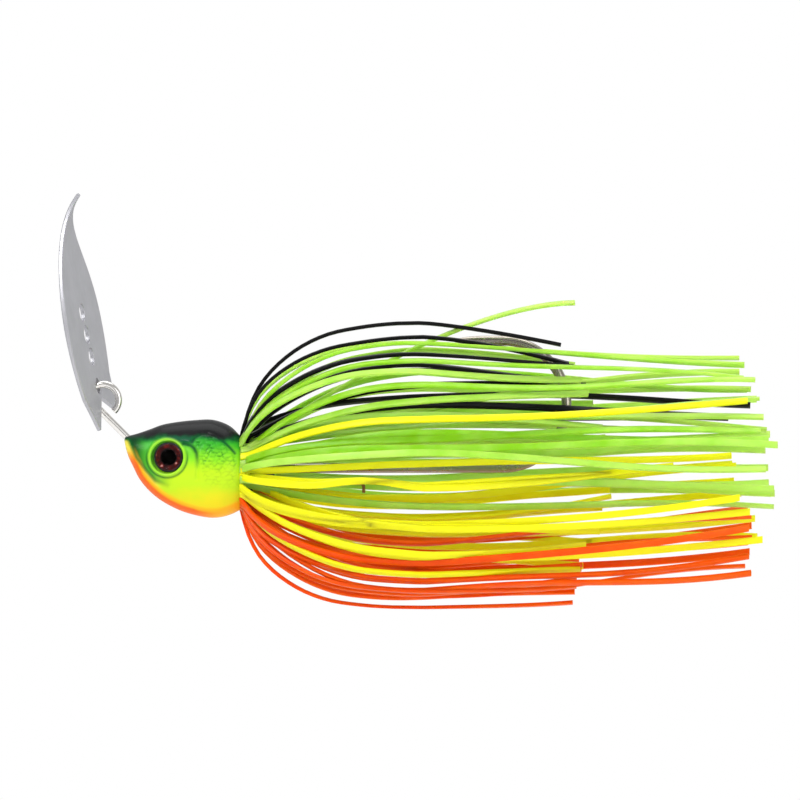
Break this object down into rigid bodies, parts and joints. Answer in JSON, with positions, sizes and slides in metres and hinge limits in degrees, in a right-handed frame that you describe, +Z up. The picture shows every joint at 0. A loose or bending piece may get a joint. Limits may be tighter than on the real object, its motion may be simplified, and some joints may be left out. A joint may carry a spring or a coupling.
{
  "type": "bladed jig",
  "caption": "Fishing lure with a lead head, a steel blade that swings on a wire eye at its nose, a silicone skirt on a collar and one upturned hook inside the skirt.",
  "frame": {"origin": "centre of the wire eye's loop, on the line that the blade swings about", "axes": "-X out of the nose, +X along the trailing skirt, +Y across the lure, +Z up, the way the hook's point faces"},
  "size_m": [0.1013, 0.0404, 0.0594],
  "materials": {
    "stainless": "satin, bright cut edges",
    "eye_wire": "bright",
    "painted_lead": "gloss clear coat over a green back, a chartreuse side and an orange belly",
    "foil": "dark red foil",
    "pupil": "gloss black",
    "clear_lens": "clear domed resin",
    "hook_steel": "grey nickel",
    "keeper_wire": "dull bronze wire",
    "tie_band": "matt",
    "black_silicone": "satin silicone",
    "green_silicone": "satin, a little see-through",
    "yellow_silicone": "satin silicone",
    "orange_silicone": "satin silicone"
  },
  "bodies": {
    "lure": {"bait_keeper": "keeper_wire", "head": "painted_lead", "hook": "hook_steel", "iris_left": "foil", "iris_right": "foil", "lens_left": "clear_lens", "lens_right": "clear_lens", "pupil_left": "pupil", "pupil_right": "pupil", "skirt_inner_01": "green_silicone", "skirt_inner_02": "black_silicone", "skirt_inner_03": "green_silicone", "skirt_inner_04": "green_silicone", "skirt_inner_05": "yellow_silicone", "skirt_inner_06": "yellow_silicone", "skirt_inner_07": "orange_silicone", "skirt_inner_08": "orange_silicone", "skirt_inner_09": "orange_silicone", "skirt_inner_10": "orange_silicone", "skirt_inner_11": "yellow_silicone", "skirt_inner_12": "yellow_silicone", "skirt_inner_13": "green_silicone", "skirt_inner_14": "green_silicone", "skirt_inner_15": "green_silicone", "skirt_inner_16": "black_silicone", "skirt_outer_01": "black_silicone", "skirt_outer_02": "green_silicone", "skirt_outer_03": "black_silicone", "skirt_outer_04": "green_silicone", "skirt_outer_05": "green_silicone", "skirt_outer_06": "green_silicone", "skirt_outer_07": "yellow_silicone", "skirt_outer_08": "yellow_silicone", "skirt_outer_09": "orange_silicone", "skirt_outer_10": "orange_silicone", "skirt_outer_11": "orange_silicone", "skirt_outer_12": "orange_silicone", "skirt_outer_13": "orange_silicone", "skirt_outer_14": "orange_silicone", "skirt_outer_15": "yellow_silicone", "skirt_outer_16": "yellow_silicone", "skirt_outer_17": "green_silicone", "skirt_outer_18": "green_silicone", "skirt_outer_19": "green_silicone", "skirt_outer_20": "green_silicone", "skirt_outer_21": "black_silicone", "skirt_outer_22": "green_silicone", "skirt_tie": "tie_band", "wire_eye": "eye_wire"},
    "blade": {"blade": "stainless"}
  },
  "joints": [
    {"name": "blade_swing", "type": "hinge", "parent": "lure", "child": "blade", "pos_m": [0, 0, 0], "axis": [0, 1, 0], "range_deg": [-22, 65]}
  ]
}
